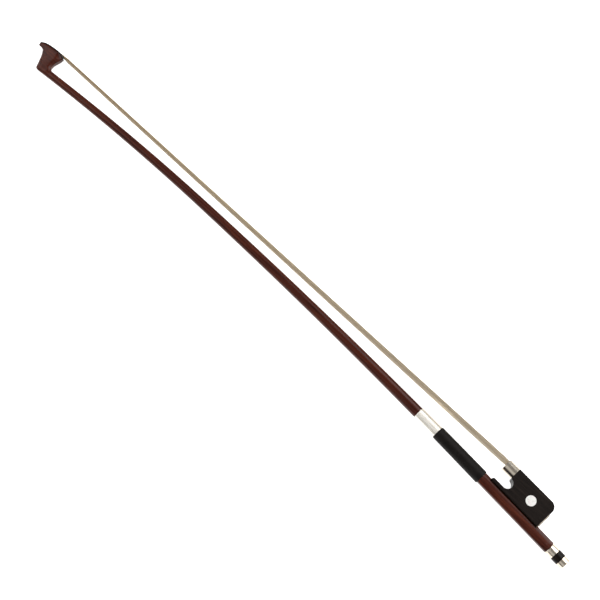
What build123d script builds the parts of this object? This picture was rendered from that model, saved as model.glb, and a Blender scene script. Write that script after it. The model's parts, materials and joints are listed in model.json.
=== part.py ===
from build123d import *
import math
import os

# A french-pattern double bass bow, lying on its side as it rests on a table.
# Millimetres. +X runs along the hair from the tip to the button, +Y points from the stick
# to the hair, and +Z is up. The flat side of the frog lies on Z = 0, and X = Y = 0 is the
# middle of the bow's bounding box.

# Stick: hair_to_axis is measured at the front of the frog, square to the hair
frog_front = 605.6
hair_to_axis = 26.8
butt_tilt = 3.62
tip_tilt = 4.7
camber_low = 227.6
straight_butt = 12.0
stick_tip_radius = 3.7
stick_grip_radius = 5.95
taper_power = 1.2
octagon_flats = 11.2
nipple_radius = 4.0
nipple_length = 3.4
stick_behind_frog = 20.5

# Grip
winding_length = 24.8
winding_wire = 0.5
leather_length = 56.8
leather_to_frog = 5.3
leather_wall = 0.9
leather_skive = 0.7

# Frog
frog_length = 60.4
frog_width = 14.6
frog_cheek = 4.0
hair_below_slide = 2.9
slide_tilt = 0.7
heel_corner = 7.0
tongue_top = 7.1
tongue_nose = 2.3
tongue_front = 1.7
throat_height = 10.6
throat_lip = 1.2
throat_depth = 19.6
edge_round = 0.5
underslide_sheet = 0.45
underslide_lip = 1.0
heel_plate_sheet = 1.2
heel_plate_proud = 0.8
heel_plate_top = 19.5
eye_radius = 4.95
eye_depth = 1.2
eye_from_front = 40.1
eye_height = 16.45
pin_radius = 0.5
pin_length = 2.4

# Ferrule: a D-shaped tube with its flat side level with the slide
ferrule_front = 1.5
ferrule_length = 11.8
ferrule_width = 14.0
ferrule_height = 10.6
ferrule_wall = 0.9
hair_room = 5.2
wedge_thickness = 1.1

# Hair channel and slide
slide_length = 38.5
slide_half_width = 4.2
slide_flare = 0.7
slide_thickness = 2.0
pearl_half_width = 3.3
pearl_thickness = 0.8
pocket_front = 19.5
pocket_length = 9.0
pocket_depth = 8.0
pocket_half_width = 4.6
channel_depth = 4.8

# Screw, eyelet and button
screw_radius = 2.0
screw_nose_radius = 1.5
screw_nose_length = 7.0
eyelet_centre = 30.0
eyelet_length = 7.0
eyelet_width = 4.4
eyelet_top = -2.8
eyelet_bottom = 5.0
eyelet_post_radius = 2.2
eyelet_post_end = 15.0
travel_in = 5.0
travel_out = 6.0
travel_spare = 1.0
button_radius = 5.8
button_ring = 7.3
button_middle = 7.1
button_cap = 6.5
button_wall = 0.7
button_groove = 0.25

# Head: distances from the tip of the nose, and heights above the middle of the hair
head_length = 29.4
throat_from_nose = 29.2
face_height = -0.3
nose_drop = 4.0
nose_height = 3.2
head_half_width = 5.8
head_rear_half_width = 3.0
head_rear_chamfer = 5.8
nose_half_width = 0.9
plate_sheet = 0.7
liner_sheet = 0.4
tip_pocket_front = 14.0
tip_pocket_rear = 23.0
tip_pocket_half_width = 3.6
tip_pocket_depth = 9.0
tip_plug_length = 4.6

# Hair ribbon: flat on the tip plate, then fuller towards the frog
hair_tip_width = 9.6
hair_plate_thickness = 0.5
hair_tip_thickness = 1.6
hair_frog_thickness = 2.7

# Clearances
glue_gap = 0.03
facing_gap = 0.01
wrap_gap = 0.06
running_gap = 0.08
slide_gap = 0.1
free_gap = 0.3
end_gap = 0.3

# Worked-out places
hair_frog_width = ferrule_width - 2 * ferrule_wall - 2 * free_gap
slide_height = hair_to_axis + hair_below_slide
winding_start = frog_front - leather_to_frog - leather_length - winding_length
octagon_half = octagon_flats / 2
frog_half = frog_width / 2
tilt = math.radians(butt_tilt)
stick_end = frog_length + stick_behind_frog
button_front = stick_end + end_gap
button_length = button_ring + button_middle + button_cap
button_end = button_front + button_length
grip_end = winding_start + winding_length + leather_length
overall_length = frog_front + button_end * math.cos(tilt)
lowest_y = -hair_to_axis - button_end * math.sin(tilt) - button_radius * math.cos(tilt)
top_of_slide = slide_height * math.cos(tilt) - ferrule_front * math.sin(tilt)
highest_y = top_of_slide - hair_to_axis

hair_plane = Plane(
    origin=(-overall_length / 2, -(lowest_y + highest_y) / 2, frog_half),
    x_dir=(1, 0, 0),
    z_dir=(0, 0, 1),
)


def turned(plane, x, y, degrees):
    """The plane at local point x, y, turned about its own normal."""
    angle = math.radians(degrees)
    direction = plane.x_dir * math.cos(angle) + plane.y_dir * math.sin(angle)
    return Plane(
        origin=plane.from_local_coords((x, y, 0)), x_dir=direction, z_dir=plane.z_dir
    )


def across(plane, x, y=0):
    """The section plane at local x, y: its own x is the plane's y, and its normal is the plane's x."""
    return Plane(
        origin=plane.from_local_coords((x, y, 0)), x_dir=plane.y_dir, z_dir=plane.x_dir
    )


def facing_hair(plane, x, y):
    """The plane at local x, y that faces the hair: its own x runs along the given plane's x."""
    return Plane(
        origin=plane.from_local_coords((x, y, 0)), x_dir=plane.x_dir, z_dir=plane.y_dir
    )


butt_plane = turned(hair_plane, frog_front, -hair_to_axis, -butt_tilt)
slide_plane = turned(butt_plane, 0, slide_height, slide_tilt)
butt_axis = Axis(butt_plane.origin, butt_plane.x_dir)

# The camber is two arcs that touch at camber_low, where the stick runs parallel to the hair
arc_end = frog_front - straight_butt * math.cos(tilt)
arc_end_y = -hair_to_axis + straight_butt * math.sin(tilt)
butt_arc = (arc_end - camber_low) / math.sin(tilt)
camber_top = arc_end_y + butt_arc * (1 - math.cos(tilt))
tip_arc = (camber_low - head_length) / math.sin(math.radians(tip_tilt))
head_axis = camber_top - tip_arc * (1 - math.cos(math.radians(tip_tilt)))


def stick_plane(x):
    """The section plane square to the stick's centre line at x."""
    if x >= arc_end:
        along = (x - frog_front) / math.cos(tilt)
        return across(butt_plane, along)
    radius = butt_arc if x > camber_low else tip_arc
    lean = math.asin((x - camber_low) / radius)
    y = camber_top - radius * (1 - math.cos(lean))
    return across(turned(hair_plane, x, y, -math.degrees(lean)), 0)


def stick_radius(x):
    share = (x - head_length) / (grip_end - head_length)
    return stick_tip_radius + (stick_grip_radius - stick_tip_radius) * max(share, 0) ** taper_power


plate_total = plate_sheet + liner_sheet


def face_points(below):
    """The curve of the head's face from the nose to the rear corner, a depth below the plate's outside."""
    top = face_height - below
    return [
        (0, top - nose_drop),
        (3.0, top - 2.3),
        (7.0, top - 1.1),
        (14.0, top - 0.35),
        (22.0, top),
        (26.0, top - 0.25),
        (head_length, top - 1.5),
    ]


def face_sheet(outer, inner):
    """A sheet that follows the head's face between two depths."""
    outside = face_points(outer)
    inside = face_points(inner)
    Spline(*outside)
    Line(outside[-1], inside[-1])
    Spline(*inside)
    Line(inside[0], outside[0])


def head_outline():
    """The head seen square to its face: a slim nose, full cheeks and a chamfered rear."""
    cheek_end = head_length - head_rear_chamfer
    side = [
        (0, nose_half_width),
        (3.0, 1.9),
        (8.0, 3.1),
        (14.0, 4.4),
        (cheek_end, head_half_width),
    ]
    mirrored = [(x, -z) for x, z in side]
    Spline(*side)
    Line(side[-1], (head_length, head_rear_half_width))
    Line((head_length, head_rear_half_width), (head_length, -head_rear_half_width))
    Line((head_length, -head_rear_half_width), mirrored[-1])
    Spline(*mirrored)
    Line(mirrored[0], side[0])


# Square to the face, looking along -Y: local x is X, local y is -Z
face_plane = Plane(
    origin=hair_plane.from_local_coords((0, 10, 0)), x_dir=hair_plane.x_dir, z_dir=hair_plane.y_dir
)
# Looking along the stick: local x is Y, local y is Z
front_plane = across(hair_plane, -5)

with BuildPart() as head:
    with BuildSketch(hair_plane):
        with BuildLine():
            wood_face = face_points(plate_total + facing_gap)
            nose_foot = (0.2, wood_face[0][1] - nose_height + plate_total)
            ridge_foot = (16.6, head_axis - 4.3)
            stick_side = head_length + 1.5
            throat = (throat_from_nose, head_axis + stick_tip_radius)
            neck = (throat_from_nose - 1.4, head_axis + 6.2)
            Spline(*wood_face)
            Line(wood_face[0], nose_foot)
            Spline(nose_foot, (2.6, -7.7), (5.4, -8.1), (7.8, -9.7), (10.6, -13.9), (13.2, -19.5), ridge_foot)
            Line(ridge_foot, (18.8, head_axis - 4.6))
            Line((18.8, head_axis - 4.6), (stick_side, head_axis - 3.8))
            Line((stick_side, head_axis - 3.8), (stick_side, head_axis + 2.5))
            Line((stick_side, head_axis + 2.5), throat)
            Spline(throat, neck, (27.5, -12.9), (28.1, -8.6), (29.1, -5.2), wood_face[-1])
        make_face()
    extrude(amount=head_half_width + 1, both=True)
    with BuildSketch(face_plane):
        with BuildLine():
            head_outline()
        make_face()
    extrude(amount=-50, mode=Mode.INTERSECT)
    with BuildSketch(front_plane):
        with BuildLine():
            Polyline(
                (5, head_half_width),
                (-1, head_half_width),
                (head_axis + 3.7, 4.2),
                (head_axis - 1.8, 3.6),
                (head_axis - 4.7, 1.8),
                (head_axis - 4.7, -1.8),
                (head_axis - 1.8, -3.6),
                (head_axis + 3.7, -4.2),
                (-1, -head_half_width),
                (5, -head_half_width),
                close=True,
            )
        make_face()
    extrude(amount=50, mode=Mode.INTERSECT)

# The pocket for the hair knot in the head
tip_pocket = (tip_pocket_front + tip_pocket_rear) / 2
tip_pocket_length = tip_pocket_rear - tip_pocket_front


def cut_tip_pocket():
    """The mortise in the head's face, cut from whatever part is being built."""
    with BuildSketch(face_plane) as mouth:
        with Locations((tip_pocket, 0)):
            Rectangle(tip_pocket_length, 2 * tip_pocket_half_width)
    extrude(mouth.sketch, amount=-10 - tip_pocket_depth, mode=Mode.SUBTRACT)


# ---------------------------------------------------------------- stick
with BuildPart() as stick:
    add(head.part)
    cut_tip_pocket()
    station_count = 9
    first_station = head_length - 10.2
    last_station = grip_end + 0.6
    for station in range(station_count + 1):
        x = first_station + (last_station - first_station) * station / station_count
        with BuildSketch(stick_plane(x)):
            Circle(stick_radius(x))
    loft()
    # Octagonal butt, with its nipple for the button
    butt_start = (grip_end - frog_front) / math.cos(tilt) + glue_gap
    with BuildSketch(across(butt_plane, butt_start)):
        RegularPolygon(octagon_half, 8, major_radius=False, rotation=22.5)
    extrude(amount=stick_end - butt_start)
    with BuildSketch(across(butt_plane, stick_end)):
        Circle(nipple_radius)
    extrude(amount=nipple_length)
    # Eyelet mortise, open towards the frog
    mortise_start = eyelet_centre - eyelet_length / 2 - travel_in - travel_spare
    mortise_end = eyelet_centre + eyelet_length / 2 + travel_out + travel_spare
    mortise_floor = eyelet_top - free_gap
    with BuildSketch(butt_plane):
        with Locations(((mortise_start + mortise_end) / 2, (mortise_floor + octagon_flats) / 2)):
            Rectangle(mortise_end - mortise_start, octagon_flats - mortise_floor)
    extrude(amount=eyelet_width / 2 + free_gap, both=True, mode=Mode.SUBTRACT)
    # Screw bores
    with BuildSketch(across(butt_plane, mortise_end - 1)):
        Circle(screw_radius + running_gap)
    extrude(amount=stick_end + nipple_length - mortise_end + 2, mode=Mode.SUBTRACT)
    with BuildSketch(across(butt_plane, mortise_start - screw_nose_length - free_gap)):
        Circle(screw_nose_radius + running_gap)
    extrude(amount=screw_nose_length + free_gap + 1, mode=Mode.SUBTRACT)



def finish(piece, label):
    """Labels a finished piece and writes its file."""
    piece.part.label = label
    export_step(piece.part, f"parts/{label}.step")


os.makedirs("parts", exist_ok=True)
finish(stick, "stick")


# ---------------------------------------------------------------- tip
def face_layer(outer, inner):
    """One sheet of the head's facing, between two depths below its outside."""
    with BuildSketch(hair_plane) as edge:
        with BuildLine():
            face_sheet(outer, inner)
        make_face()
    extrude(edge.sketch, amount=head_half_width + 1, both=True)
    with BuildSketch(face_plane) as outline:
        with BuildLine():
            head_outline()
        make_face()
    extrude(outline.sketch, amount=-50, mode=Mode.INTERSECT)
    cut_tip_pocket()


with BuildPart() as tip_plate:
    face_layer(0, plate_sheet)
finish(tip_plate, "tip_plate")

with BuildPart() as tip_liner:
    face_layer(plate_sheet, plate_total)
finish(tip_liner, "tip_liner")

# Wooden plug that wedges the hair knot into the head
pocket_floor = face_height - tip_pocket_depth + 0.7
tip_knot_radius = 1.75
with BuildPart() as tip_plug:
    with BuildSketch(hair_plane):
        with BuildLine():
            Polyline(
                (tip_pocket_front + glue_gap, face_height - 0.4),
                (tip_pocket_front + glue_gap, pocket_floor),
                (tip_pocket_front + tip_plug_length - 1.0, pocket_floor),
                (tip_pocket_front + tip_plug_length, face_height - 0.4),
                close=True,
            )
        make_face()
    extrude(amount=tip_pocket_half_width - glue_gap, both=True)
finish(tip_plug, "tip_plug")

# Bound end of the hair in the head
tip_knot_x = tip_pocket_rear - tip_knot_radius - 0.4
with BuildPart() as tip_knot:
    with BuildSketch(facing_hair(hair_plane, tip_knot_x, pocket_floor)):
        SlotOverall(2 * tip_pocket_half_width - 0.6, 2 * tip_knot_radius, rotation=90)
    extrude(amount=face_height - 0.1 - pocket_floor)
finish(tip_knot, "tip_knot")


# ---------------------------------------------------------------- grip
def ring_sections(start, steps, walls):
    """Round sections of the stick, thickened by the walls, at steps along it from start."""
    sections = []
    for step, wall in zip(steps, walls):
        with BuildSketch(stick_plane(start + step)) as section:
            Circle(stick_radius(start + step) + wall)
        sections.append(section.sketch)
    return sections


def sleeve(start, length, wall, skive):
    """A sleeve round the stick that follows its taper, thinned at both ends by the skive."""
    if skive:
        steps = (0, skive, length / 2, length - skive, length)
        walls = (wall - skive / 2, wall, wall, wall, wall - skive / 2)
    else:
        steps = (0, length / 2, length)
        walls = (wall, wall, wall)
    loft(ring_sections(start, steps, walls), ruled=bool(skive))
    bore_steps = (-1, length / 4, length / 2, length * 3 / 4, length + 1)
    loft(ring_sections(start, bore_steps, (wrap_gap,) * 5), mode=Mode.SUBTRACT)


leather_start = winding_start + winding_length
with BuildPart() as winding:
    sleeve(winding_start, winding_length, winding_wire, 0)
finish(winding, "winding")

with BuildPart() as leather_grip:
    sleeve(leather_start + glue_gap, leather_length - glue_gap, leather_wall, leather_skive)
finish(leather_grip, "leather_grip")


# ---------------------------------------------------------------- frog
def octagon_prism(half, start, end, mode):
    """A prism with the stick's octagonal section, or one a gap larger, along the butt."""
    with BuildSketch(across(butt_plane, start)) as section:
        RegularPolygon(half, 8, major_radius=False, rotation=22.5)
    extrude(section.sketch, amount=end - start, mode=mode)


def side_disc(x, y, radius, mode):
    """A disc that lets into both flat sides of the frog by the eye's depth."""
    for face in (1, -1):
        flat = butt_plane.offset(face * frog_half)
        with BuildSketch(flat) as disc:
            with Locations((x, y)):
                Circle(radius)
        extrude(disc.sketch, amount=-face * eye_depth, mode=mode)


underslide_outer = octagon_half + slide_gap + underslide_sheet
ferrule_rear = ferrule_front + ferrule_length
slide_front = ferrule_rear + glue_gap
pocket_rear = pocket_front + pocket_length
tongue_flat = -ferrule_wall - hair_room
heel_plate_front = frog_length + heel_plate_proud - heel_plate_sheet


def slide_point(x, y=0):
    """A point of the slide plane, in the butt plane's coordinates."""
    lean = math.radians(slide_tilt)
    along = x * math.cos(lean) - y * math.sin(lean)
    height = slide_height + x * math.sin(lean) + y * math.cos(lean)
    return (along, height)


throat_top = tongue_top + throat_height
throat_arc = (throat_top - tongue_top) / 2
throat_middle = throat_top - throat_arc
throat_centre = throat_depth - throat_arc

# Centres of the small pins
heel_pin_heights = (8.5, 15.5)
underslide_pin_places = (tongue_front + 2.2, 20.0, 41.0, frog_length - 3.0)

with BuildPart() as frog_block:
    with BuildSketch(butt_plane):
        with BuildLine():
            corner_start = slide_point(frog_length - heel_corner)
            corner_end = (frog_length, corner_start[1] - heel_corner)
            nose_top = (tongue_front + tongue_nose, tongue_top)
            nose_low = (tongue_front, tongue_top - tongue_nose)
            front_drop = slide_point(slide_front)[1] - throat_top - throat_lip
            front_foot = slide_point(slide_front, -front_drop)
            lip_end = (front_foot[0] + throat_lip, throat_top)
            Line((tongue_front, frog_cheek), (frog_length, frog_cheek))
            Line((frog_length, frog_cheek), corner_end)
            RadiusArc(corner_end, corner_start, -heel_corner)
            Line(corner_start, slide_point(slide_front))
            Line(slide_point(slide_front), front_foot)
            Line(front_foot, lip_end)
            ThreePointArc(
                lip_end,
                (throat_depth, throat_middle),
                (throat_centre, tongue_top),
            )
            Line((throat_centre, tongue_top), nose_top)
            RadiusArc(nose_top, nose_low, -tongue_nose)
            Line(nose_low, (tongue_front, frog_cheek))
        make_face()
    extrude(amount=frog_half, both=True)
    side_faces = frog_block.faces().filter_by(Axis.Z)
    fillet(side_faces.edges(), edge_round)
    # Tongue that carries the ferrule
    inner_radius = ferrule_width / 2 - ferrule_wall - glue_gap
    d_centre = ferrule_width / 2 - ferrule_height
    with BuildSketch(across(slide_plane, ferrule_front + 0.6)):
        with Locations((d_centre, 0)):
            Circle(inner_radius)
        with Locations((tongue_flat + inner_radius, 0)):
            Rectangle(2 * inner_radius, 2 * inner_radius, mode=Mode.SUBTRACT)
    extrude(amount=ferrule_length)
    # Channel for the stick, lined by the underslide
    octagon_prism(underslide_outer + glue_gap, -1, frog_length + 1, Mode.SUBTRACT)
    # Recess for the heel plate
    with BuildSketch(butt_plane):
        with Locations((heel_plate_front - glue_gap + 5, (heel_plate_top + glue_gap) / 2)):
            Rectangle(10, heel_plate_top + glue_gap)
    extrude(amount=frog_half + 1, both=True, mode=Mode.SUBTRACT)
    # Hair channel behind the ferrule, and the pocket for the knot
    with BuildSketch(slide_plane):
        with BuildLine():
            Polyline(
                (ferrule_rear - 4, 1),
                (pocket_rear, 1),
                (pocket_rear, -pocket_depth),
                (pocket_front, -pocket_depth),
                (pocket_front, -channel_depth),
                (ferrule_rear - 4, -channel_depth),
                close=True,
            )
        make_face()
    extrude(amount=pocket_half_width, both=True, mode=Mode.SUBTRACT)
    # Dovetail for the slide
    with BuildSketch(across(slide_plane, slide_front - glue_gap)):
        with BuildLine():
            Polyline(
                (0.5, slide_half_width + glue_gap),
                (-slide_thickness - glue_gap, slide_half_width + slide_flare + glue_gap),
                (-slide_thickness - glue_gap, -slide_half_width - slide_flare - glue_gap),
                (0.5, -slide_half_width - glue_gap),
                close=True,
            )
        make_face()
    extrude(amount=slide_length + 2 * glue_gap, mode=Mode.SUBTRACT)
    # Seats of the eyes, the eyelet's post and the pins
    side_disc(eye_from_front, eye_height, eye_radius + glue_gap, Mode.SUBTRACT)
    with BuildSketch(facing_hair(butt_plane, eyelet_centre, 0)):
        Circle(eyelet_post_radius + glue_gap)
    extrude(amount=eyelet_post_end + glue_gap, mode=Mode.SUBTRACT)
    for height in heel_pin_heights:
        with BuildSketch(across(butt_plane, frog_length, height)):
            Circle(pin_radius + glue_gap)
        extrude(amount=-pin_length, mode=Mode.SUBTRACT)
    for place in underslide_pin_places:
        with BuildSketch(facing_hair(butt_plane, place, 0)):
            Circle(pin_radius + glue_gap)
        extrude(amount=octagon_half + pin_length, mode=Mode.SUBTRACT)
finish(frog_block, "frog_block")

# Folded metal lining that runs on the three lower flats of the stick
with BuildPart() as underslide:
    octagon_prism(underslide_outer, tongue_front, frog_length, Mode.ADD)
    octagon_prism(octagon_half + slide_gap, -1, frog_length + 1, Mode.SUBTRACT)
    with BuildSketch(butt_plane):
        with Locations((frog_length / 2, frog_cheek - underslide_lip - 10)):
            Rectangle(frog_length + 2, 20)
    extrude(amount=frog_half, both=True, mode=Mode.SUBTRACT)
    with BuildSketch(facing_hair(butt_plane, eyelet_centre, 0)):
        Circle(eyelet_post_radius + glue_gap)
    extrude(amount=eyelet_post_end, mode=Mode.SUBTRACT)
    for place in underslide_pin_places:
        with BuildSketch(facing_hair(butt_plane, place, 0)):
            Circle(pin_radius + glue_gap)
        extrude(amount=octagon_half + pin_length, mode=Mode.SUBTRACT)
finish(underslide, "underslide")

with BuildPart() as underslide_pins:
    for place in underslide_pin_places:
        with BuildSketch(facing_hair(butt_plane, place, octagon_half + slide_gap)):
            Circle(pin_radius)
        extrude(amount=underslide_sheet + 0.8)
finish(underslide_pins, "underslide_pins")

with BuildPart() as heel_plate:
    heel_plate_foot = underslide_outer + 0.2
    with BuildSketch(across(butt_plane, heel_plate_front)):
        with Locations(((heel_plate_foot + heel_plate_top) / 2, 0)):
            Rectangle(heel_plate_top - heel_plate_foot, frog_width - 2 * edge_round)
    extrude(amount=heel_plate_sheet)
    fillet(heel_plate.faces().sort_by(butt_axis)[-1].edges(), 0.25)
    for height in heel_pin_heights:
        with BuildSketch(across(butt_plane, frog_length, height)):
            Circle(pin_radius + glue_gap)
        extrude(amount=-heel_plate_sheet, mode=Mode.SUBTRACT)
finish(heel_plate, "heel_plate")

with BuildPart() as heel_plate_pins:
    for height in heel_pin_heights:
        with BuildSketch(across(butt_plane, frog_length, height)):
            Circle(pin_radius)
        extrude(amount=-pin_length + 0.1)
finish(heel_plate_pins, "heel_plate_pins")

eye_names = ("eye_near", "eye_far")
for name, face in zip(eye_names, (1, -1)):
    with BuildPart() as eye:
        with BuildSketch(butt_plane.offset(face * (frog_half - glue_gap))):
            with Locations((eye_from_front, eye_height)):
                Circle(eye_radius)
        extrude(amount=-face * (eye_depth - 2 * glue_gap))
    finish(eye, name)


# ---------------------------------------------------------------- ferrule and hair fixings
def d_section(wall):
    """The ferrule's D, or its bore when the wall is more than nothing."""
    half = ferrule_width / 2 - wall
    corner = half - (0.8 if wall == 0 else 0.5)
    middle = ferrule_width / 2 - ferrule_height
    flat = -wall
    Polyline((middle, half), (flat - half + corner, half), (flat, corner), (flat, -corner))
    Polyline((flat, -corner), (flat - half + corner, -half), (middle, -half))
    ThreePointArc((middle, -half), (middle - half, 0), (middle, half))


with BuildPart() as ferrule:
    with BuildSketch(across(slide_plane, ferrule_front)):
        with BuildLine():
            d_section(0)
        make_face()
    extrude(amount=ferrule_length)
    with BuildSketch(across(slide_plane, ferrule_front - 1)):
        with BuildLine():
            d_section(ferrule_wall)
        make_face()
    extrude(amount=ferrule_length + 2, mode=Mode.SUBTRACT)
finish(ferrule, "ferrule")

with BuildPart() as spread_wedge:
    with BuildSketch(across(slide_plane, ferrule_front + 0.3)):
        with Locations((tongue_flat + glue_gap + wedge_thickness / 2, 0)):
            Rectangle(wedge_thickness, hair_frog_width - 0.6)
    extrude(amount=ferrule_length - 4)
finish(spread_wedge, "spread_wedge")

with BuildPart() as slide_base:
    with BuildSketch(across(slide_plane, slide_front)):
        with BuildLine():
            Polyline(
                (0, slide_half_width),
                (-slide_thickness, slide_half_width + slide_flare),
                (-slide_thickness, -slide_half_width - slide_flare),
                (0, -slide_half_width),
                close=True,
            )
        make_face()
    extrude(amount=slide_length)
    with BuildSketch(across(slide_plane, slide_front - 1)):
        Rectangle(2 * (pearl_thickness + glue_gap), 2 * (pearl_half_width + glue_gap))
    extrude(amount=slide_length, mode=Mode.SUBTRACT)
finish(slide_base, "slide_base")

with BuildPart() as slide_pearl:
    with BuildSketch(across(slide_plane, slide_front)):
        with Locations((-pearl_thickness / 2 - glue_gap / 2, 0)):
            Rectangle(pearl_thickness - glue_gap, 2 * pearl_half_width)
    extrude(amount=slide_length - 1 - glue_gap)
finish(slide_pearl, "slide_pearl")

frog_knot_radius = 2.0
frog_knot_x = pocket_front + frog_knot_radius + 0.3
with BuildPart() as frog_knot:
    with BuildSketch(facing_hair(slide_plane, frog_knot_x, -pocket_depth + glue_gap)):
        SlotOverall(2 * pocket_half_width - 0.4, 2 * frog_knot_radius, rotation=90)
    extrude(amount=pocket_depth - slide_thickness - 0.3)
    with BuildSketch(slide_plane):
        with Locations(((ferrule_rear - 1.5 + frog_knot_x) / 2, -3.1)):
            Rectangle(frog_knot_x - ferrule_rear + 1.5, 0.9)
    extrude(amount=pocket_half_width - 0.3, both=True)
finish(frog_knot, "frog_knot")

with BuildPart() as frog_plug:
    with BuildSketch(slide_plane):
        with BuildLine():
            plug_start = frog_knot_x + frog_knot_radius + glue_gap
            Polyline(
                (plug_start, -slide_thickness - 0.3),
                (pocket_rear - glue_gap, -slide_thickness - 0.3),
                (pocket_rear - glue_gap, -pocket_depth + glue_gap),
                (plug_start + 0.6, -pocket_depth + glue_gap),
                close=True,
            )
        make_face()
    extrude(amount=pocket_half_width - glue_gap, both=True)
finish(frog_plug, "frog_plug")

# ---------------------------------------------------------------- screw, eyelet and button
with BuildPart() as eyelet:
    with BuildSketch(facing_hair(butt_plane, eyelet_centre, eyelet_top)):
        RectangleRounded(eyelet_length, eyelet_width, 0.8)
    extrude(amount=eyelet_bottom - eyelet_top)
    with BuildSketch(facing_hair(butt_plane, eyelet_centre, 0)):
        Circle(eyelet_post_radius)
    extrude(amount=eyelet_post_end)
    with BuildSketch(across(butt_plane, 0)):
        Circle(screw_radius + running_gap)
    extrude(amount=frog_length, mode=Mode.SUBTRACT)
finish(eyelet, "eyelet")

button_screw_end = button_front + button_ring + button_middle + 1.5
with BuildPart() as adjusting_screw:
    with BuildSketch(across(butt_plane, mortise_start + free_gap)):
        Circle(screw_radius)
    extrude(amount=button_screw_end - mortise_start - free_gap)
    with BuildSketch(across(butt_plane, mortise_start - screw_nose_length)):
        Circle(screw_nose_radius)
    extrude(amount=screw_nose_length + free_gap)
finish(adjusting_screw, "adjusting_screw")

middle_start = button_front + button_ring
cap_start = middle_start + button_middle
core_end = cap_start + button_cap - 1.6
with BuildPart() as button_core:
    with BuildSketch(butt_plane):
        with BuildLine():
            core_radius = button_radius - button_wall - glue_gap
            Polyline(
                (button_front + 0.1, nipple_radius + running_gap),
                (button_front + 0.1, core_radius),
                (middle_start + glue_gap, core_radius),
                (middle_start + glue_gap, button_radius),
                (cap_start - glue_gap, button_radius),
                (cap_start - glue_gap, core_radius),
                (core_end, core_radius),
                (core_end, 0),
                (button_screw_end + glue_gap, 0),
                (button_screw_end + glue_gap, screw_radius + glue_gap),
                (stick_end + nipple_length + end_gap, screw_radius + glue_gap),
                (stick_end + nipple_length + end_gap, nipple_radius + running_gap),
                close=True,
            )
        make_face()
    revolve(axis=butt_axis)
finish(button_core, "button_core")

with BuildPart() as button_front_ring:
    with BuildSketch(butt_plane):
        with BuildLine():
            groove_at = button_front + 1.4
            Polyline(
                (button_front, button_radius - button_wall),
                (button_front, button_radius - 0.3),
                (button_front + 0.3, button_radius),
                (groove_at - 0.3, button_radius),
                (groove_at, button_radius - button_groove),
                (groove_at + 0.3, button_radius),
                (middle_start, button_radius),
                (middle_start, button_radius - button_wall),
                close=True,
            )
        make_face()
    revolve(axis=butt_axis)
finish(button_front_ring, "button_front_ring")

with BuildPart() as button_rear_cap:
    with BuildSketch(butt_plane):
        with BuildLine():
            Polyline(
                (core_end + glue_gap, 0),
                (core_end + glue_gap, button_radius - button_wall),
                (cap_start, button_radius - button_wall),
                (cap_start, button_radius),
                (button_end - 0.9, button_radius),
                (button_end - 0.4, button_radius - 0.5),
                (button_end - 0.15, button_radius / 2),
                (button_end, 0),
                close=True,
            )
        make_face()
    revolve(axis=butt_axis)
finish(button_rear_cap, "button_rear_cap")

# ---------------------------------------------------------------- hair
# A flat ribbon over the rear edge of the tip plate and into the ferrule's mouth
hair_start = tip_knot_x - tip_knot_radius
hair_clear = head_length + 4.0
hair_end = frog_front + ferrule_rear - 2.4
hair_sections = (
    (hair_start, hair_tip_width, hair_plate_thickness),
    (head_length, hair_tip_width, hair_plate_thickness),
    (hair_clear, hair_tip_width, hair_tip_thickness),
    (hair_end, hair_frog_width, hair_frog_thickness),
)
with BuildPart() as hair_ribbon:
    for x, width, thickness in hair_sections:
        with BuildSketch(across(hair_plane, x)):
            Rectangle(thickness, width)
    loft(ruled=True)
finish(hair_ribbon, "hair_ribbon")
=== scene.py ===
import json
import math
import random

import bmesh
import bpy
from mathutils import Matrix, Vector


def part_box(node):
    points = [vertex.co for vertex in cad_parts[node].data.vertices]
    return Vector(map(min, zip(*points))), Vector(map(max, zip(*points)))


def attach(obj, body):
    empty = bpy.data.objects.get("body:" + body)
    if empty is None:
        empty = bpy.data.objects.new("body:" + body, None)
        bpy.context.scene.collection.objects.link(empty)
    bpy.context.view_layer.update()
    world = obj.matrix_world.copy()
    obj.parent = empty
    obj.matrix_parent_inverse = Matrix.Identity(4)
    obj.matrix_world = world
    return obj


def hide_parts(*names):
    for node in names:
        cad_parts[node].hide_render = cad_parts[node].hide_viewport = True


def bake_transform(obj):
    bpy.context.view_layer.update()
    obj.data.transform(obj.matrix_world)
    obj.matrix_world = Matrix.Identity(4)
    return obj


# A french-pattern double bass bow on the CAD frame. Helpers take millimetres and give metres.
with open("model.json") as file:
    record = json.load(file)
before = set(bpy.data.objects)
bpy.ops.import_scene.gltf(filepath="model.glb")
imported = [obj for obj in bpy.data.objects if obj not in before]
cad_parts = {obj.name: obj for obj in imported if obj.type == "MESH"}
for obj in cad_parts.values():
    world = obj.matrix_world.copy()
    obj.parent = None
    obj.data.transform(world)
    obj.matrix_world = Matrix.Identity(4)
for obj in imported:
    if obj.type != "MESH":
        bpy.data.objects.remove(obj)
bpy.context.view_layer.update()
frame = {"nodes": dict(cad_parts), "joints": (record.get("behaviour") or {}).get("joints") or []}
nodes = frame["nodes"]
joints = {joint["name"]: joint for joint in frame["joints"]}
MM = 0.001

# ---------------------------------------------------------------- the two frames of the bow
hair_low, hair_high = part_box("hair_ribbon")
plate_low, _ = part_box("tip_plate")
nose = Vector((plate_low.x, (hair_low.y + hair_high.y) / 2, (hair_low.z + hair_high.z) / 2))
along = Vector(joints["frog_slide"]["axis"]).normalized()
towards_hair = Vector((-along.y, along.x, 0))
STICK_END = 80.9
frog_front = Vector(joints["screw_turn"]["pos_m"]) - along * STICK_END * MM


def bow(x, y, z=0.0):
    """A point in the hair's frame: x from the nose, y above the hair's middle, z up."""
    return nose + Vector((x, y, z)) * MM


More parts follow.
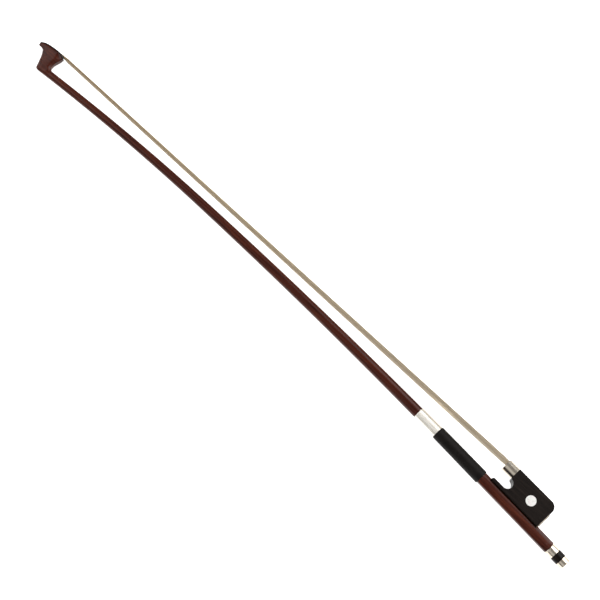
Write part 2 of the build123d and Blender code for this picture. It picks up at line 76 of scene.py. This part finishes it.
def butt(x, y, z=0.0):
    """A point in the butt's frame: x behind the frog's front, y from the stick's axis to the hair."""
    return frog_front + along * (x * MM) + towards_hair * (y * MM) + Vector((0, 0, z * MM))


# ---------------------------------------------------------------- the stick's line, as in the CAD
FROG_X = 605.6
HAIR_TO_AXIS = 26.8
TILT = math.radians(3.62)
TIP_TILT = math.radians(4.7)
CAMBER_LOW = 227.6
HEAD_LENGTH = 29.4
GRIP_END = 600.3
STRAIGHT_BUTT = 12.0
TIP_RADIUS = 3.7
GRIP_RADIUS = 5.95
arc_end = FROG_X - STRAIGHT_BUTT * math.cos(TILT)
butt_arc = (arc_end - CAMBER_LOW) / math.sin(TILT)
tip_arc = (CAMBER_LOW - HEAD_LENGTH) / math.sin(TIP_TILT)
camber_top = -HAIR_TO_AXIS + STRAIGHT_BUTT * math.sin(TILT) + butt_arc * (1 - math.cos(TILT))


def centre(x):
    """The stick's centre at x: height above the hair, and its lean."""
    if x >= arc_end:
        return -HAIR_TO_AXIS - (x - FROG_X) * math.tan(TILT), -TILT
    radius = butt_arc if x > CAMBER_LOW else tip_arc
    lean = -math.asin((x - CAMBER_LOW) / radius)
    return camber_top - radius * (1 - math.cos(lean)), lean


def stick_radius(x):
    share = (x - HEAD_LENGTH) / (GRIP_END - HEAD_LENGTH)
    return TIP_RADIUS + (GRIP_RADIUS - TIP_RADIUS) * max(share, 0) ** 1.2


def smooth(t):
    t = min(max(t, 0.0), 1.0)
    return t * t * (3 - 2 * t)


# ---------------------------------------------------------------- mesh helpers
HALF_RING = 24
RING = 2 * HALF_RING


def mesh_piece(name, mesh, material, body, replaces=(), sharp=40):
    """Gives a mesh its material, smooth shading and CAD body."""
    mesh.polygons.foreach_set("use_smooth", [True] * len(mesh.polygons))
    mesh.set_sharp_from_angle(angle=math.radians(sharp))
    mesh.materials.clear()
    mesh.materials.append(material)
    piece = bpy.data.objects.new(name, mesh)
    bpy.context.scene.collection.objects.link(piece)
    if body:
        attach(piece, body)
    if replaces:
        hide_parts(*replaces)
    return piece


def loft(name, rings, closed=False):
    """A mesh through equal rings: closed into a hollow sleeve, or capped with a fan at each end."""
    count = len(rings[0])
    points = [point for ring in rings for point in ring]
    faces = []
    links = len(rings) if closed else len(rings) - 1
    for k in range(links):
        here, there = k * count, (k + 1) % len(rings) * count
        for j in range(count):
            i = (j + 1) % count
            faces.append((here + j, here + i, there + i, there + j))
    if not closed:
        for k in (0, len(rings) - 1):
            middle = sum(rings[k], Vector()) / count
            points.append(middle)
            for j in range(count):
                faces.append((k * count + j, k * count + (j + 1) % count, len(points) - 1))
    mesh = bpy.data.meshes.new(name)
    mesh.from_pydata(points, [], faces)
    shape = bmesh.new()
    shape.from_mesh(mesh)
    bmesh.ops.recalc_face_normals(shape, faces=shape.faces)
    shape.to_mesh(mesh)
    shape.free()
    return mesh


def round_ring(x, wall=0.0, bump=None):
    """A ring of points round the stick's centre line at x."""
    height, lean = centre(x)
    ring = []
    for j in range(RING):
        angle = 2 * math.pi * j / RING
        radius = stick_radius(x) + wall + (bump(x, j / RING) if bump else 0.0)
        out = radius * math.cos(angle)
        ring.append(bow(x - out * math.sin(lean), height + out * math.cos(lean), radius * math.sin(angle)))
    return ring


# ---------------------------------------------------------------- stick and head
# Each row is a rib of the head, from the hair side to the outer side: the two ends, then the
# half width at the hair side, at the shoulder, low on the cheek and at the ridge.
HEAD = [
    ((0.05, -5.75), (0.35, -7.3), 0.5, 0.3, 0.6, 0.7, 0.5, 0.3),
    ((0.3, -5.4), (0.7, -7.65), 0.8, 0.3, 0.9, 0.7, 0.75, 0.4),
    ((1.4, -4.55), (1.5, -7.75), 1.3, 0.3, 1.3, 0.75, 1.0, 0.45),
    ((3.0, -3.72), (3.0, -7.75), 1.8, 0.3, 1.75, 0.75, 1.3, 0.5),
    ((5.2, -3.05), (5.2, -8.0), 2.35, 0.3, 2.35, 0.75, 1.7, 0.5),
    ((8.0, -2.4), (7.2, -9.1), 3.0, 0.25, 3.0, 0.75, 2.1, 0.5),
    ((11.5, -2.0), (9.0, -11.4), 3.8, 0.2, 3.8, 0.78, 2.5, 0.5),
    ((16.0, -1.65), (10.6, -13.9), 4.7, 0.15, 4.65, 0.8, 2.8, 0.55),
    ((20.0, -1.45), (11.8, -16.4), 5.35, 0.12, 5.3, 0.8, 3.0, 0.55),
    ((22.7, -1.42), (12.7, -18.4), 5.7, 0.1, 5.65, 0.8, 3.1, 0.6),
    ((26.0, -1.7), (13.7, -20.6), 4.5, 0.2, 5.4, 0.8, 3.2, 0.6),
    ((29.2, -2.95), (14.6, -22.8), 3.0, 0.3, 5.05, 0.82, 3.25, 0.65),
    ((28.9, -5.8), (15.3, -24.5), 3.0, 0.28, 4.65, 0.82, 3.25, 0.7),
    ((28.1, -9.0), (16.1, -26.0), 2.9, 0.26, 4.3, 0.82, 3.2, 0.8),
    ((27.5, -12.9), (17.4, -26.9), 2.75, 0.25, 4.0, 0.8, 3.15, 0.9),
    ((27.9, -16.4), (20.4, -27.0), 2.5, 0.25, 3.75, 0.78, 3.1, 1.1),
    ((29.8, -18.7), (24.6, -26.6), 2.1, 0.25, 3.6, 0.75, 3.1, 1.3),
]
SIDE_STEPS = (4, 5, 8, 4, 3)


def half_profile(rib):
    """The half section of a rib as (share from the hair side, half width) pairs, corners eased."""
    first, shoulder, shoulder_out, low, low_out, last = rib
    corners = [(0, 0), (0, first), (shoulder, shoulder_out), (low, low_out), (1, last), (1, 0)]
    points = []
    for (a, b), steps in zip(zip(corners, corners[1:]), SIDE_STEPS):
        points += [
            (a[0] + (b[0] - a[0]) * k / steps, a[1] + (b[1] - a[1]) * k / steps) for k in range(steps)
        ]
    points.append(corners[-1])
    eased = [points[0]]
    for before, here, after in zip(points, points[1:], points[2:]):
        eased.append(tuple(0.5 * here[k] + 0.25 * (before[k] + after[k]) for k in (0, 1)))
    return eased + [points[-1]]


def rib_ring(start, end, half):
    """The ring of a rib from its two ends and its half section."""
    full = half + [(share, -out) for share, out in reversed(half[1:-1])]
    return [
        bow(start[0] + (end[0] - start[0]) * share, start[1] + (end[1] - start[1]) * share, out)
        for share, out in full
    ]


def catmull(a, b, c, d, t):
    return 0.5 * (2 * b + (c - a) * t + (2 * a - 5 * b + 4 * c - d) * t * t + (3 * b - a - 3 * c + d) * t**3)


def circle_profile(radius):
    angles = [math.pi * j / HALF_RING for j in range(HALF_RING + 1)]
    return [((1 - math.cos(angle)) / 2, radius * math.sin(angle)) for angle in angles]


def stick_ends(x):
    height, lean = centre(x)
    radius = stick_radius(x)
    normal = (-math.sin(lean) * radius, math.cos(lean) * radius)
    return (x + normal[0], height + normal[1]), (x - normal[0], height - normal[1])


def flat_row(row):
    return [*row[0], *row[1], *row[2:]]


def head_rings():
    """The head's ribs, refined along a smooth line, and blended into the round stick."""
    rows = [flat_row(row) for row in HEAD]
    for x in (32.0, 36.0, 42.0):
        start, end = stick_ends(x)
        rows.append([*start, *end, 1.4, 0.2, 2.75, 0.8, 2.75, 1.4])
    blend_from, blend_rows = len(HEAD) - 2, 3
    rings = []
    steps = 4
    for k in range(len(rows) - 2):
        before = rows[max(k - 1, 0)]
        for step in range(steps):
            t = step / steps
            row = [catmull(*values, t) for values in zip(before, rows[k], rows[k + 1], rows[k + 2])]
            half = half_profile(row[4:])
            weight = smooth((k + t - blend_from) / blend_rows)
            radius = math.dist(row[0:2], row[2:4]) / 2
            mixed = [
                tuple(p + (q - p) * weight for p, q in zip(ours, theirs))
                for ours, theirs in zip(half, circle_profile(radius))
            ]
            rings.append(rib_ring(row[0:2], row[2:4], mixed))
    return rings


OCTAGON = 5.6
OCTAGON_START = -4.4
NIPPLE_RADIUS = 4.0
SCREW_BORE = 2.08
NOSE_BORE = 1.58


def octagon_ring(x, weight, shrink=0.0):
    """A ring of the butt, between round and octagonal."""
    ring = []
    for j in range(RING):
        angle = 2 * math.pi * j / RING
        off = (angle + math.pi / 8) % (math.pi / 4) - math.pi / 8
        eight = min(OCTAGON / math.cos(off), OCTAGON * 1.07)
        radius = GRIP_RADIUS + (eight - GRIP_RADIUS) * weight - shrink
        ring.append(butt(x, radius * math.cos(angle), radius * math.sin(angle)))
    return ring


def nipple_ring(x, radius):
    angles = [2 * math.pi * j / RING for j in range(RING)]
    return [butt(x, radius * math.cos(angle), radius * math.sin(angle)) for angle in angles]


def box_mesh(name, place, low, high):
    """A block between two corners, put down by one of the bow's frames and used as a cutter."""
    steps = list(zip(low, high))
    corners = [place(x, y, z) for x in steps[0] for y in steps[1] for z in steps[2]]
    mesh = bpy.data.meshes.new(name)
    sides = [(0, 1, 3, 2), (4, 6, 7, 5), (0, 4, 5, 1), (2, 3, 7, 6), (0, 2, 6, 4), (1, 5, 7, 3)]
    mesh.from_pydata(corners, [], sides)
    return mesh


def cut(mesh, cutters):
    """The mesh less its cutters."""
    body = bpy.data.objects.new("cut_body", mesh)
    bpy.context.scene.collection.objects.link(body)
    tools = []
    for cutter in cutters:
        tool = bpy.data.objects.new("cut_tool", cutter)
        bpy.context.scene.collection.objects.link(tool)
        tools.append(tool)
        modifier = body.modifiers.new("cut", "BOOLEAN")
        modifier.object = tool
        modifier.operation = "DIFFERENCE"
        modifier.solver = "EXACT"
    depsgraph = bpy.context.evaluated_depsgraph_get()
    result = bpy.data.meshes.new_from_object(body.evaluated_get(depsgraph))
    for done in [body, *tools]:
        bpy.data.objects.remove(done)
    return result


def stick_mesh():
    rings = head_rings()
    x = 36.0
    while x < GRIP_END - 3:
        rings.append(round_ring(x))
        x += 4.0
    rings.append(round_ring(GRIP_END - 0.2))
    rings.append(octagon_ring((GRIP_END + 0.05 - FROG_X) / math.cos(TILT), 0.0))
    rings.append(octagon_ring(OCTAGON_START - 0.5, 0.7))
    rings.append(octagon_ring(OCTAGON_START, 1.0))
    flats = STICK_END - 0.35 - OCTAGON_START
    rings += [octagon_ring(OCTAGON_START + flats * k / 12, 1.0) for k in range(1, 13)]
    rings.append(octagon_ring(STICK_END, 1.0, 0.3))
    rings += [
        nipple_ring(STICK_END, NIPPLE_RADIUS),
        nipple_ring(STICK_END + 3.1, NIPPLE_RADIUS),
        nipple_ring(STICK_END + 3.4, NIPPLE_RADIUS - 0.3),
    ]
    body = loft("stick_visual", rings)
    mortise = box_mesh("mortise", butt, (20.5, -3.1, -2.5), (40.5, 9.0, 2.5))
    bore = loft("bore", [nipple_ring(39.5, SCREW_BORE), nipple_ring(90.0, SCREW_BORE)])
    nose_bore = loft("nose_bore", [nipple_ring(13.2, NOSE_BORE), nipple_ring(21.5, NOSE_BORE)])
    pocket = box_mesh("pocket", bow, (14.0, -9.3, -3.6), (23.0, 0.5, 3.6))
    return cut(body, [mortise, bore, nose_bore, pocket])


# ---------------------------------------------------------------- materials
class Paint:
    """One procedural material in object coordinates, which are the CAD's own metres."""

    def __init__(self, name, **values):
        self.material = bpy.data.materials.new(name)
        self.material.use_nodes = True
        self.tree = self.material.node_tree
        self.shader = self.tree.nodes["Principled BSDF"]
        self.place = self.add("ShaderNodeTexCoord").outputs["Object"]
        for key, value in values.items():
            self.shader.inputs[key.replace("_", " ")].default_value = value

    def add(self, kind, **settings):
        node = self.tree.nodes.new(kind)
        for key, value in settings.items():
            setattr(node, key, value)
        return node

    def join(self, source, target):
        self.tree.links.new(source, target)

    def scaled(self, scale, turn=0.0):
        node = self.add("ShaderNodeMapping")
        node.inputs["Scale"].default_value = scale
        node.inputs["Rotation"].default_value = (0, 0, turn)
        self.join(self.place, node.inputs["Vector"])
        return node.outputs["Vector"]

    def noise(self, scale, detail=4.0, rough=0.55, distortion=0.0, turn=0.0):
        node = self.add("ShaderNodeTexNoise")
        node.inputs["Scale"].default_value = 1.0
        node.inputs["Detail"].default_value = detail
        node.inputs["Roughness"].default_value = rough
        node.inputs["Distortion"].default_value = distortion
        self.join(self.scaled(scale, turn), node.inputs["Vector"])
        return node.outputs["Fac"]

    def cells(self, scale, feature="F1", output="Distance", turn=0.0):
        node = self.add("ShaderNodeTexVoronoi", feature=feature)
        node.inputs["Scale"].default_value = 1.0
        self.join(self.scaled(scale, turn), node.inputs["Vector"])
        return node.outputs[output]

    def ramp(self, source, *stops):
        node = self.add("ShaderNodeValToRGB")
        elements = node.color_ramp.elements
        while len(elements) < len(stops):
            elements.new(0.5)
        for element, (place, colour) in zip(elements, stops):
            element.position = place
            element.color = (*colour, 1.0) if isinstance(colour, tuple) else (colour, colour, colour, 1.0)
        self.join(source, node.inputs["Fac"])
        return node.outputs["Color"]

    def mix(self, blend, amount, first, second):
        node = self.add("ShaderNodeMix", data_type="RGBA", blend_type=blend)
        inputs = {socket.identifier: socket for socket in node.inputs}
        if isinstance(amount, float):
            inputs["Factor_Float"].default_value = amount
        else:
            self.join(amount, inputs["Factor_Float"])
        for key, value in (("A_Color", first), ("B_Color", second)):
            if isinstance(value, tuple):
                inputs[key].default_value = (*value, 1.0)
            else:
                self.join(value, inputs[key])
        return {socket.identifier: socket for socket in node.outputs}["Result_Color"]

    def colour(self, source):
        self.join(source, self.shader.inputs["Base Color"])

    def roughness(self, source, low, high):
        node = self.add("ShaderNodeMapRange")
        node.inputs["To Min"].default_value = low
        node.inputs["To Max"].default_value = high
        self.join(source, node.inputs["Value"])
        self.join(node.outputs["Result"], self.shader.inputs["Roughness"])

    def bump(self, source, strength, depth_mm):
        node = self.add("ShaderNodeBump")
        node.inputs["Strength"].default_value = strength
        node.inputs["Distance"].default_value = depth_mm * MM
        self.join(source, node.inputs["Height"])
        previous = self.shader.inputs["Normal"].links
        if previous:
            self.join(previous[0].from_socket, node.inputs["Normal"])
        self.join(node.outputs["Normal"], self.shader.inputs["Normal"])


def varnished_wood():
    paint = Paint("stick_wood_paint", Coat_Weight=0.1, Coat_Roughness=0.14, Specular_IOR_Level=0.16)
    grain = paint.noise((22, 520, 520), 6.0, 0.6, 0.25)
    slow = paint.noise((7, 70, 70), 3.0)
    pores = paint.noise((150, 4200, 4200), 2.0)
    base = paint.ramp(
        grain, (0.28, (0.024, 0.0032, 0.0012)), (0.5, (0.062, 0.0095, 0.0032)), (0.74, (0.12, 0.025, 0.008))
    )
    patches = paint.ramp(slow, (0.3, (0.72, 0.6, 0.6)), (0.7, (1.0, 1.0, 1.0)))
    shifted = paint.mix("MULTIPLY", 0.6, base, patches)
    flecks = paint.ramp(pores, (0.3, 0.35), (0.42, 1.0))
    paint.colour(paint.mix("MULTIPLY", 0.5, shifted, flecks))
    paint.roughness(grain, 0.24, 0.4)
    paint.bump(pores, 0.12, 0.05)
    paint.bump(grain, 0.08, 0.1)
    return paint.material


def ebony_wood():
    paint = Paint("ebony_paint", Specular_IOR_Level=0.12)
    grain = paint.noise((45, 900, 900), 6.0, 0.62, 0.2)
    pores = paint.noise((160, 3800, 3800), 2.0)
    base = paint.ramp(
        grain, (0.3, (0.004, 0.0022, 0.0015)), (0.55, (0.010, 0.006, 0.0045)), (0.8, (0.026, 0.016, 0.012))
    )
    paint.colour(paint.mix("MULTIPLY", 0.6, base, paint.ramp(pores, (0.3, 0.3), (0.42, 1.0))))
    paint.roughness(grain, 0.26, 0.4)
    paint.bump(pores, 0.15, 0.05)
    return paint.material


def nickel_silver():
    paint = Paint("nickel_silver_paint", Metallic=1.0)
    brushed = paint.noise((90, 2600, 2600), 4.0, 0.6)
    tarnish = paint.noise((160, 160, 160), 4.0, 0.6)
    base = paint.ramp(
        tarnish, (0.25, (0.58, 0.49, 0.38)), (0.5, (0.76, 0.68, 0.57)), (0.75, (0.83, 0.77, 0.67))
    )
    paint.colour(base)
    paint.roughness(brushed, 0.14, 0.32)
    paint.bump(brushed, 0.05, 0.02)
    paint.bump(tarnish, 0.04, 0.08)
    return paint.material


def plain_metal(name, dark, light, low, high):
    paint = Paint(name, Metallic=1.0)
    turned = paint.noise((900, 900, 900), 3.0)
    paint.colour(paint.ramp(turned, (0.3, dark), (0.7, light)))
    paint.roughness(turned, low, high)
    paint.bump(turned, 0.08, 0.03)
    return paint.material


def wound_wire():
    paint = Paint("winding_paint", Metallic=0.75)
    tone = paint.noise((700, 700, 700), 3.0)
    paint.colour(paint.ramp(tone, (0.3, (0.80, 0.76, 0.68)), (0.7, (0.93, 0.90, 0.84))))
    paint.roughness(tone, 0.3, 0.45)
    paint.bump(tone, 0.05, 0.02)
    return paint.material


def grip_leather():
    paint = Paint("grip_leather_paint", Specular_IOR_Level=0.14)
    cells = paint.cells((1500, 1900, 1900))
    creases_and_crease_shade = paint.cells((700, 1100, 1100), "DISTANCE_TO_EDGE")
    tone = paint.noise((180, 260, 260), 5.0, 0.6)
    base = paint.ramp(tone, (0.3, (0.003, 0.0022, 0.0018)), (0.7, (0.011, 0.0085, 0.007)))
    # Painted shade: the base colour is darkened along the crease lines, which also give the crease bump
    # below.
    paint.colour(paint.mix("MULTIPLY", 0.5, base, paint.ramp(creases_and_crease_shade, (0.0, 0.35), (0.12, 1.0))))
    paint.roughness(tone, 0.46, 0.64)
    paint.bump(cells, 0.35, 0.06)
    paint.bump(paint.ramp(creases_and_crease_shade, (0.0, 0.0), (0.15, 1.0)), 0.3, 0.05)
    return paint.material


def horse_hair():
    paint = Paint("hair_paint", Specular_IOR_Level=0.45, Sheen_Weight=0.1)
    node = paint.add("ShaderNodeAttribute", attribute_name="tone")
    streak = paint.noise((30, 5200, 5200), 3.0)
    base = paint.ramp(
        node.outputs["Fac"], (0.0, (0.60, 0.47, 0.31)), (0.4, (0.76, 0.65, 0.48)), (1.0, (0.88, 0.81, 0.67))
    )
    # Multiplied into the hair below: its colour darkens step by step towards the tip, along the bow's world
    # X.
    split = paint.add("ShaderNodeSeparateXYZ")
    paint.join(paint.scaled((1.6, 1, 1)), split.inputs["Vector"])
    shift = paint.add("ShaderNodeMath", operation="ADD")
    shift.inputs[1].default_value = 0.56
    paint.join(split.outputs["X"], shift.inputs[0])
    tipward_darkening = paint.ramp(
        shift.outputs["Value"], (0.0, (0.56, 0.48, 0.36)), (0.45, (0.82, 0.78, 0.70)), (0.95, (1.0, 1.0, 1.0))
    )
    streaked = paint.mix("MULTIPLY", 0.5, base, paint.ramp(streak, (0.3, 0.72), (0.6, 1.0)))
    paint.colour(paint.mix("MULTIPLY", 1.0, streaked, tipward_darkening))
    paint.roughness(streak, 0.34, 0.55)
    paint.bump(streak, 0.12, 0.02)
    return paint.material


def mother_of_pearl():
    paint = Paint("pearl_paint", Coat_Weight=0.5, Coat_Roughness=0.05)
    bands = paint.noise((260, 420, 420), 4.0, 0.55, 1.6, 0.5)
    tint = paint.noise((120, 190, 190), 2.0, 0.5, 0.8)
    base = paint.ramp(bands, (0.3, (0.74, 0.73, 0.70)), (0.5, (0.90, 0.89, 0.86)), (0.75, (0.97, 0.96, 0.94)))
    hue = paint.ramp(tint, (0.3, (0.90, 1.0, 0.95)), (0.5, (1.0, 1.0, 1.0)), (0.7, (1.0, 0.91, 0.95)))
    paint.colour(paint.mix("MULTIPLY", 0.7, base, hue))
    paint.roughness(bands, 0.12, 0.26)
    paint.bump(bands, 0.04, 0.05)
    return paint.material


def pale_wood():
    paint = Paint("plug_wood_paint")
    grain = paint.noise((1200, 160, 1200), 4.0)
    paint.colour(paint.ramp(grain, (0.3, (0.42, 0.28, 0.15)), (0.7, (0.66, 0.50, 0.32))))
    paint.roughness(grain, 0.55, 0.75)
    paint.bump(grain, 0.2, 0.05)
    return paint.material


def bound_thread():
    paint = Paint("binding_thread_paint", Sheen_Weight=0.2)
    turns = paint.noise((300, 3200, 300), 2.0)
    paint.colour(paint.ramp(turns, (0.35, (0.45, 0.36, 0.24)), (0.6, (0.78, 0.70, 0.56))))
    paint.roughness(turns, 0.5, 0.8)
    paint.bump(turns, 0.5, 0.1)
    return paint.material


def black_facing():
    paint = Paint("tip_facing_paint")
    speckle = paint.noise((600, 2200, 2200), 4.0)
    paint.colour(paint.ramp(speckle, (0.3, (0.014, 0.012, 0.012)), (0.7, (0.040, 0.036, 0.034))))
    paint.roughness(speckle, 0.28, 0.42)
    paint.bump(speckle, 0.08, 0.03)
    return paint.material


WOOD = varnished_wood()
EBONY = ebony_wood()
NICKEL = nickel_silver()
LEATHER = grip_leather()
WIRE = wound_wire()
HAIR = horse_hair()
PEARL = mother_of_pearl()
PLUG = pale_wood()
THREAD = bound_thread()
FACING = black_facing()
BRASS = plain_metal("eyelet_brass_paint", (0.55, 0.38, 0.15), (0.75, 0.58, 0.30), 0.25, 0.45)
STEEL = plain_metal("screw_steel_paint", (0.42, 0.42, 0.43), (0.60, 0.60, 0.61), 0.22, 0.4)

CAD_FINISH = {
    "tip_plate": FACING,
    "tip_liner": EBONY,
    "tip_plug": PLUG,
    "tip_knot": THREAD,
    "frog_block": EBONY,
    "underslide": NICKEL,
    "underslide_pins": NICKEL,
    "ferrule": NICKEL,
    "spread_wedge": PLUG,
    "slide_base": EBONY,
    "slide_pearl": PEARL,
    "heel_plate": NICKEL,
    "heel_plate_pins": NICKEL,
    "eye_near": PEARL,
    "eye_far": PEARL,
    "frog_plug": PLUG,
    "frog_knot": THREAD,
    "eyelet": BRASS,
    "adjusting_screw": STEEL,
    "button_core": EBONY,
    "button_front_ring": NICKEL,
    "button_rear_cap": NICKEL,
}
for name, material in CAD_FINISH.items():
    nodes[name].data.materials.clear()
    nodes[name].data.materials.append(material)

mesh_piece("stick_body", stick_mesh(), WOOD, "stick", ["stick"], 50)

# ---------------------------------------------------------------- winding and leather
WINDING_START = 518.7
WINDING_END = 543.5
WIRE_PITCH = 0.62


def wire_bump(x, turn):
    """The height of the wire's turns, which climb one pitch in each turn round the stick."""
    phase = ((x - WINDING_START) / WIRE_PITCH - turn) % 1.0
    return 0.42 * (0.45 + 0.55 * math.sqrt(max(0.0, 1 - (2 * phase - 1) ** 2)))


def sleeve_mesh(name, steps, inner_steps, wall, bump=None):
    rings = [round_ring(x, wall(x), bump) for x in steps]
    rings += [round_ring(x, 0.07) for x in reversed(inner_steps)]
    return loft(name, rings, closed=True)


winding_steps = [
    WINDING_START + (WINDING_END - WINDING_START) * k / 240 for k in range(241)
]
mesh_piece(
    "wire_winding",
    sleeve_mesh(
        "wire_winding", winding_steps, [WINDING_START, 530.0, WINDING_END], lambda x: 0.07, wire_bump
    ),
    WIRE, "stick", ["winding"], 180,
)

LEATHER_START = WINDING_END + 0.03
LEATHER_WALL = 0.9
leather_ease = [(0.0, 0.4), (0.2, 0.6), (0.5, 0.78), (1.0, 0.87), (1.8, LEATHER_WALL)]


def leather_wall(x):
    depth = min(x - LEATHER_START, GRIP_END - x)
    for (a, low), (b, high) in zip(leather_ease, leather_ease[1:]):
        if depth <= b:
            return low + (high - low) * (depth - a) / (b - a)
    return LEATHER_WALL


def leather_bump(x, turn):
    """The lapped seam on the side away from the hair, and the slight waviness of glued leather."""
    seam = -0.22 * math.exp(-(((turn - 0.6) * RING) ** 2) / 0.5)
    wave = 0.03 * math.sin(x * 0.9 + 9 * turn) * math.sin(2 * math.pi * turn + x * 0.21)
    return seam + wave - 0.03


edge_steps = [depth for depth, _ in leather_ease]
leather_steps = [LEATHER_START + depth for depth in edge_steps]
leather_steps += [LEATHER_START + 1.8 + (GRIP_END - LEATHER_START - 3.6) * k / 50 for k in range(1, 50)]
leather_steps += [GRIP_END - depth for depth in reversed(edge_steps)]
inner = [LEATHER_START + (GRIP_END - LEATHER_START) * k / 6 for k in range(7)]
mesh_piece(
    "leather_wrap",
    sleeve_mesh("leather_wrap", leather_steps, inner, leather_wall, leather_bump),
    LEATHER, "stick", ["leather_grip"], 60,
)

# ---------------------------------------------------------------- hair
random.seed(7)
HAIR_END = 616.4
STRAND = 0.125
COLUMNS = 42
LAYERS = 8
# x, height, share of the width and thickness along the hair
hair_line = [
    (20.8, -3.6, 0.68, 0.4), (21.0, -2.2, 0.70, 0.4), (21.6, -1.0, 0.75, 0.45),
    (22.6, -0.32, 0.82, 0.45), (24.6, -0.03, 0.92, 0.5), (29.4, 0.0, 1.0, 0.5), (33.4, 0.0, 1.0, 1.4),
]
hair_line += [(60.0 + 59.0 * k, 0.0, 1.0, 1.55 + 0.22 * k) for k in range(10)]
hair_line += [(603.0, 0.0, 1.0, 3.4), (609.0, 0.0, 0.98, 2.9), (HAIR_END, 0.0, 0.94, 2.6)]



def hair_mesh():
    points, faces, tones = [], [], []
    sides = 5
    for layer in range(LAYERS):
        for column in range(COLUMNS):
            across = 2 * (column + 0.5 + 0.5 * (layer % 2)) / (COLUMNS + 0.5) - 1
            depth = layer / (LAYERS - 1) - 0.5
            tone, wander, sway = random.random(), random.uniform(-0.1, 0.1), random.uniform(0, 6.28)
            radius = STRAND * random.uniform(0.85, 1.1)
            for k, (x, height, spread, thickness) in enumerate(hair_line):
                half_width = 4.8 + 1.0 * (x - 20) / (HAIR_END - 20) - 0.15
                before = hair_line[max(k - 1, 0)]
                after = hair_line[min(k + 1, len(hair_line) - 1)]
                slope = math.atan2(after[1] - before[1], after[0] - before[0])
                z = across * half_width * spread + wander * math.sin(sway + x * 0.012)
                z = min(max(z, -half_width), half_width)
                lift = depth * (thickness - 2 * STRAND)
                for j in range(sides):
                    angle = 2 * math.pi * j / sides + sway
                    out = lift + radius * math.cos(angle)
                    points.append(
                        bow(
                            x - out * math.sin(slope),
                            height + out * math.cos(slope),
                            z + radius * math.sin(angle),
                        )
                    )
                    tones.append(tone)
            first = len(points) - len(hair_line) * sides
            for k in range(len(hair_line) - 1):
                for j in range(sides):
                    i = (j + 1) % sides
                    a = first + k * sides
                    faces.append((a + j, a + i, a + sides + i, a + sides + j))
            faces.append(tuple(first + j for j in reversed(range(sides))))
            last = first + (len(hair_line) - 1) * sides
            faces.append(tuple(last + j for j in range(sides)))
    mesh = bpy.data.meshes.new("hair_strands")
    mesh.from_pydata(points, [], faces)
    mesh.attributes.new("tone", "FLOAT", "POINT").data.foreach_set("value", tones)
    shape = bmesh.new()
    shape.from_mesh(mesh)
    bmesh.ops.recalc_face_normals(shape, faces=shape.faces)
    shape.to_mesh(mesh)
    shape.free()
    return mesh


hair = mesh_piece("hair_strands", hair_mesh(), HAIR, None, ["hair_ribbon"], 100)
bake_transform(hair)

# ---------------------------------------------------------------- floor, lights and camera
floor_mesh = bpy.data.meshes.new("floor")
floor_corners = [(x, y, -0.0004) for x, y in ((-4, -4), (4, -4), (4, 4), (-4, 4))]
floor_mesh.from_pydata(floor_corners, [], [(0, 1, 2, 3)])
floor_paint = Paint("floor_paint", Roughness=0.9, Specular_IOR_Level=0.1)
floor_paint.colour(floor_paint.ramp(floor_paint.noise((3, 3, 3), 2.0), (0.3, 0.90), (0.7, 0.93)))
floor_paint.shader.inputs["Emission Color"].default_value = (1.0, 1.0, 1.0, 1.0)
floor_paint.shader.inputs["Emission Strength"].default_value = 0.9
floor_mesh.materials.append(floor_paint.material)
floor = bpy.data.objects.new("floor", floor_mesh)
bpy.context.scene.collection.objects.link(floor)

world = bpy.data.worlds.new("studio")
world.use_nodes = True
sky = world.node_tree.nodes
direction = sky.new("ShaderNodeTexCoord")
height = sky.new("ShaderNodeSeparateXYZ")
band = sky.new("ShaderNodeValToRGB")
stops = band.color_ramp.elements
stops[0].position, stops[0].color = 0.22, (0.08, 0.075, 0.07, 1.0)
stops[1].position, stops[1].color = 0.5, (1.0, 0.99, 0.97, 1.0)
stops.new(0.78).color = (1.0, 0.99, 0.97, 1.0)
stops.new(0.94).color = (0.38, 0.37, 0.36, 1.0)
world.node_tree.links.new(direction.outputs["Generated"], height.inputs["Vector"])
world.node_tree.links.new(height.outputs["Z"], band.inputs["Fac"])
world.node_tree.links.new(band.outputs["Color"], sky["Background"].inputs["Color"])
sky["Background"].inputs["Strength"].default_value = 0.62
bpy.context.scene.world = world
bpy.context.scene.view_settings.view_transform = "Standard"


def area_light(name, azimuth, elevation, distance, size, power):
    light = bpy.data.lights.new(name, "AREA")
    light.shape = "SQUARE"
    light.size = size
    light.energy = power
    lamp = bpy.data.objects.new(name, light)
    a, e = math.radians(azimuth), math.radians(elevation)
    direction = Vector((math.cos(e) * math.cos(a), math.cos(e) * math.sin(a), math.sin(e)))
    lamp.location = direction * distance
    lamp.rotation_euler = direction.to_track_quat("Z", "Y").to_euler()
    bpy.context.scene.collection.objects.link(lamp)


area_light("key_light", 66, 44, 2.6, 2.2, 50)
area_light("fill_light", 200, 40, 2.6, 2.2, 22)

AZIMUTH, ELEVATION, ROLL = (math.radians(angle) for angle in (-52.47, 73.40, 6.216))
DISTANCE = 1.3513
HALF_PIXEL = 0.00047
target = Vector((0.01235, -0.00124, 0.0073))
back = Vector((
    math.cos(ELEVATION) * math.cos(AZIMUTH), math.cos(ELEVATION) * math.sin(AZIMUTH), math.sin(ELEVATION)
))
camera_data = bpy.data.cameras.new("camera")
camera_data.lens = 86.4
camera_data.sensor_width = 36.0
camera_data.clip_start = 0.05
camera = bpy.data.objects.new("camera", camera_data)
bpy.context.scene.collection.objects.link(camera)
right = Vector((-math.sin(AZIMUTH), math.cos(AZIMUTH), 0))
above = back.cross(right)
camera_x = right * math.cos(ROLL) + above * math.sin(ROLL)
camera_y = above * math.cos(ROLL) - right * math.sin(ROLL)
rotation = camera.matrix_world.to_3x3()
for row in range(3):
    rotation[row] = (camera_x[row], camera_y[row], back[row])
camera.rotation_euler = rotation.to_euler()
camera.location = target + back * DISTANCE + camera_y * HALF_PIXEL
bpy.context.scene.camera = camera
